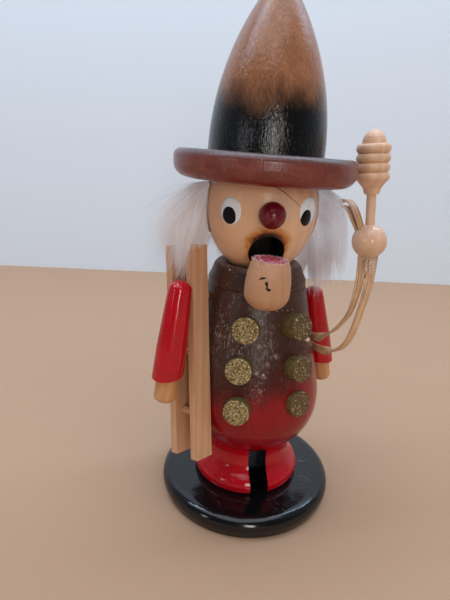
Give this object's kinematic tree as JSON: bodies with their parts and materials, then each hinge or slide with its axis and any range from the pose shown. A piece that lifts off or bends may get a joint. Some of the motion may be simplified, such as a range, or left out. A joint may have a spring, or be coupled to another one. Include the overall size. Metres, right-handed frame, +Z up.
{
  "type": "german incense smoker",
  "caption": "Turned wooden incense smoker shaped as a chimney sweep with ladder, pipe, brush and cane coil; the hollow upper figure lifts off its spigot.",
  "frame": {"origin": "middle of the flat underside of the round base, on the turning axis of the figure", "axes": "+Z up along the turning axis, -Y the way the figure's front faces, +X towards the figure's left hand"},
  "size_m": [0.082, 0.0668, 0.1754],
  "materials": {
    "base_black": "glossy black lacquer on turned wood",
    "dowel_beech": "plain beech dowel",
    "lacquer_red": "glossy red lacquer on turned wood",
    "plate_steel": "pressed sheet, heat-dulled",
    "tack_steel": "bright steel tack",
    "coat_lacquer": "brown over dark red gloss lacquer with dusted specks",
    "head_wood": "clear-lacquered light wood with painted eyes",
    "nose_red": "dark red gloss lacquer bead",
    "brim_brown": "brown-red stained satin wood",
    "crown_shaded": "brown shading to gloss black",
    "fur_white": "white fur strip",
    "pipe_wood": "clear-lacquered light wood with a glitter ember",
    "button_gold": "gold bronze paint on dowel plugs",
    "hand_wood": "clear-lacquered dowel",
    "ladder_wood": "clear-lacquered light wood",
    "brush_wood": "clear-lacquered light wood",
    "cane_rattan": "flat rattan cane, natural gloss skin"
  },
  "bodies": {
    "lower_figure": {"base_disc": "base_black", "foot_dowels": "dowel_beech", "legs": "lacquer_red", "incense_plate": "plate_steel", "plate_tack": "tack_steel"},
    "upper_figure": {"coat": "coat_lacquer", "head": "head_wood", "nose": "nose_red", "hat_brim": "brim_brown", "hat_crown": "crown_shaded", "hair_fringe": "fur_white", "pipe_bowl": "pipe_wood", "pipe_stem": "pipe_wood", "button_right_low": "button_gold", "button_right_mid": "button_gold", "button_right_high": "button_gold", "button_left_low": "button_gold", "button_left_mid": "button_gold", "button_left_high": "button_gold", "sleeve_right": "lacquer_red", "hand_right": "hand_wood", "shoulder_peg_right": "dowel_beech", "sleeve_left": "lacquer_red", "hand_left": "hand_wood", "shoulder_peg_left": "dowel_beech", "ladder_rail_front": "ladder_wood", "ladder_rail_rear": "ladder_wood", "ladder_rung_low": "ladder_wood", "ladder_rung_mid": "ladder_wood", "ladder_rung_high": "ladder_wood", "brush_head": "brush_wood", "brush_stick": "brush_wood", "sweep_ball": "brush_wood", "cane_inner": "cane_rattan", "cane_outer": "cane_rattan"}
  },
  "joints": [
    {"name": "lift_off", "type": "slide", "parent": "lower_figure", "child": "upper_figure", "axis": [0, 0, 1], "range_m": [0, 0.045]}
  ]
}
